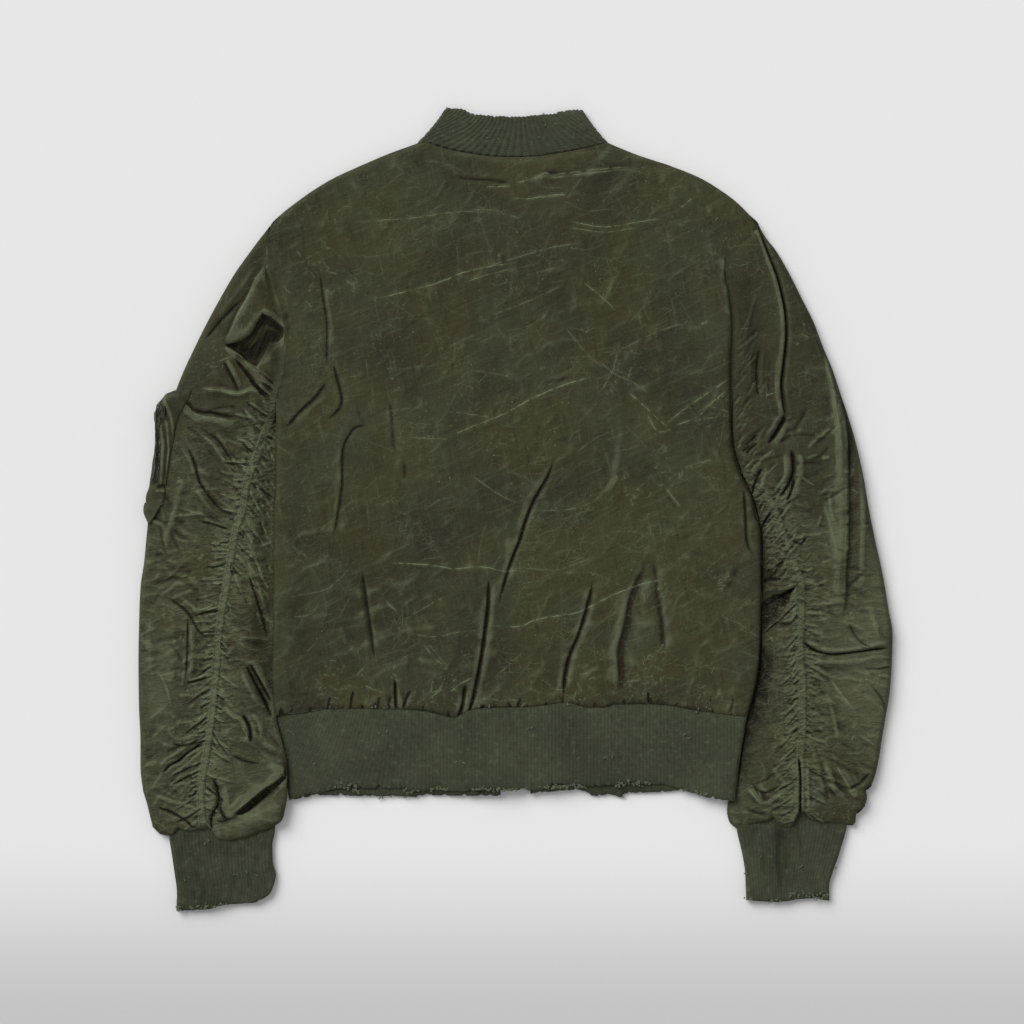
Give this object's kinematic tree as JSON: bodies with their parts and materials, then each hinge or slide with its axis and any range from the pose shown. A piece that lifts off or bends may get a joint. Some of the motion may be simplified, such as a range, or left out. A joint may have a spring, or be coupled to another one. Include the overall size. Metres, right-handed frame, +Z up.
{
  "type": "bomber jacket laid flat",
  "caption": "Olive waxed-cloth bomber jacket with ribbed collar, hem band and cuffs, laid flat with its back up.",
  "frame": {"origin": "centre of the laid-out jacket's outline, on the surface it lies on", "axes": "+Y from the hem towards the collar, +X from the jacket's left sleeve to its right sleeve as it lies back up, +Z up from the surface"},
  "size_m": [0.755, 0.802, 0.0191],
  "materials": {
    "waxed_cloth": "worn dark olive waxed cotton, dry rubbed ridges",
    "rib_knit": "matt grey-green rib knit, frayed",
    "zip_cloth": "matt olive zip tape",
    "zip_metal": "dull worn metal"
  },
  "bodies": {
    "jacket": {"back": "waxed_cloth", "front_left": "waxed_cloth", "front_right": "waxed_cloth", "sleeve_left_top": "waxed_cloth", "sleeve_left_under": "waxed_cloth", "sleeve_right_top": "waxed_cloth", "sleeve_right_under": "waxed_cloth", "cuff_left": "rib_knit", "cuff_right": "rib_knit", "hem_band": "rib_knit", "collar": "rib_knit", "zip_tape_left": "zip_cloth", "zip_tape_right": "zip_cloth", "zip_chain": "zip_metal", "zip_slider": "zip_metal", "sleeve_pocket": "waxed_cloth", "pocket_zip": "zip_cloth", "pocket_slider": "zip_metal", "pocket_tab": "waxed_cloth"},
    "zip_pull_tab": {"zip_pull": "zip_metal"}
  },
  "joints": [
    {"name": "zip_pull_hinge", "type": "hinge", "parent": "jacket", "child": "zip_pull_tab", "pos_m": [0, 0.3265, 0.0018], "axis": [1, 0, 0], "range_deg": [0, 170]}
  ]
}
